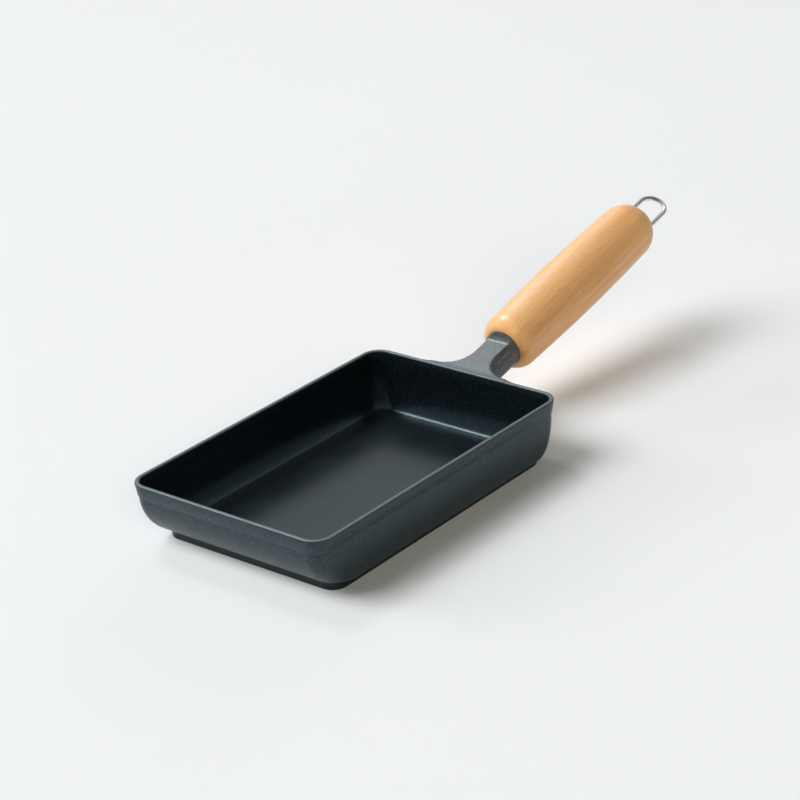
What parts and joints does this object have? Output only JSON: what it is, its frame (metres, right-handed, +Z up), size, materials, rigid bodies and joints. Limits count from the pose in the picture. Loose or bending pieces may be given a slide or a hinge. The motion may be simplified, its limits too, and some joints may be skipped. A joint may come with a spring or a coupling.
{
  "type": "tamagoyaki pan",
  "caption": "Small rectangular omelette pan, one cast body with a sloping far wall, flat foot and angled neck, a turned wooden handle and a wire hanging loop on a screwed nut.",
  "frame": {"origin": "middle of the foot's resting face, which is the plane the pan stands on", "axes": "+Z up, +Y from the pan towards the handle, +X to the right of someone who looks along +Y"},
  "size_m": [0.115, 0.3537, 0.0726],
  "materials": {
    "cast_body": "fine matte dark coating, smoother inside",
    "beech": "turned and sanded, satin",
    "fastener_steel": "plain steel",
    "stainless": "turned",
    "loop_wire": "polished"
  },
  "bodies": {
    "pan": {"pan_body": "cast_body", "grip": "beech", "stud": "fastener_steel", "locating_pin": "fastener_steel"},
    "washers": {"end_washer": "fastener_steel", "spring_washer": "fastener_steel"},
    "loop": {"loop_nut": "stainless", "hanging_loop": "loop_wire"}
  },
  "joints": [
    {"name": "washer_slide", "type": "slide", "parent": "pan", "child": "washers", "axis": [0, 0.9744, 0.225], "range_m": [0, 0.01]},
    {"name": "loop_turn", "type": "hinge", "parent": "washers", "child": "loop", "pos_m": [0, 0.23335, 0.05852], "axis": [0, 0.9744, 0.225], "range_deg": [0, 3600]}
  ],
  "couplings": [
    {"joint": "washer_slide", "follows": "loop_turn", "m_per_rad": 0.00015915}
  ]
}
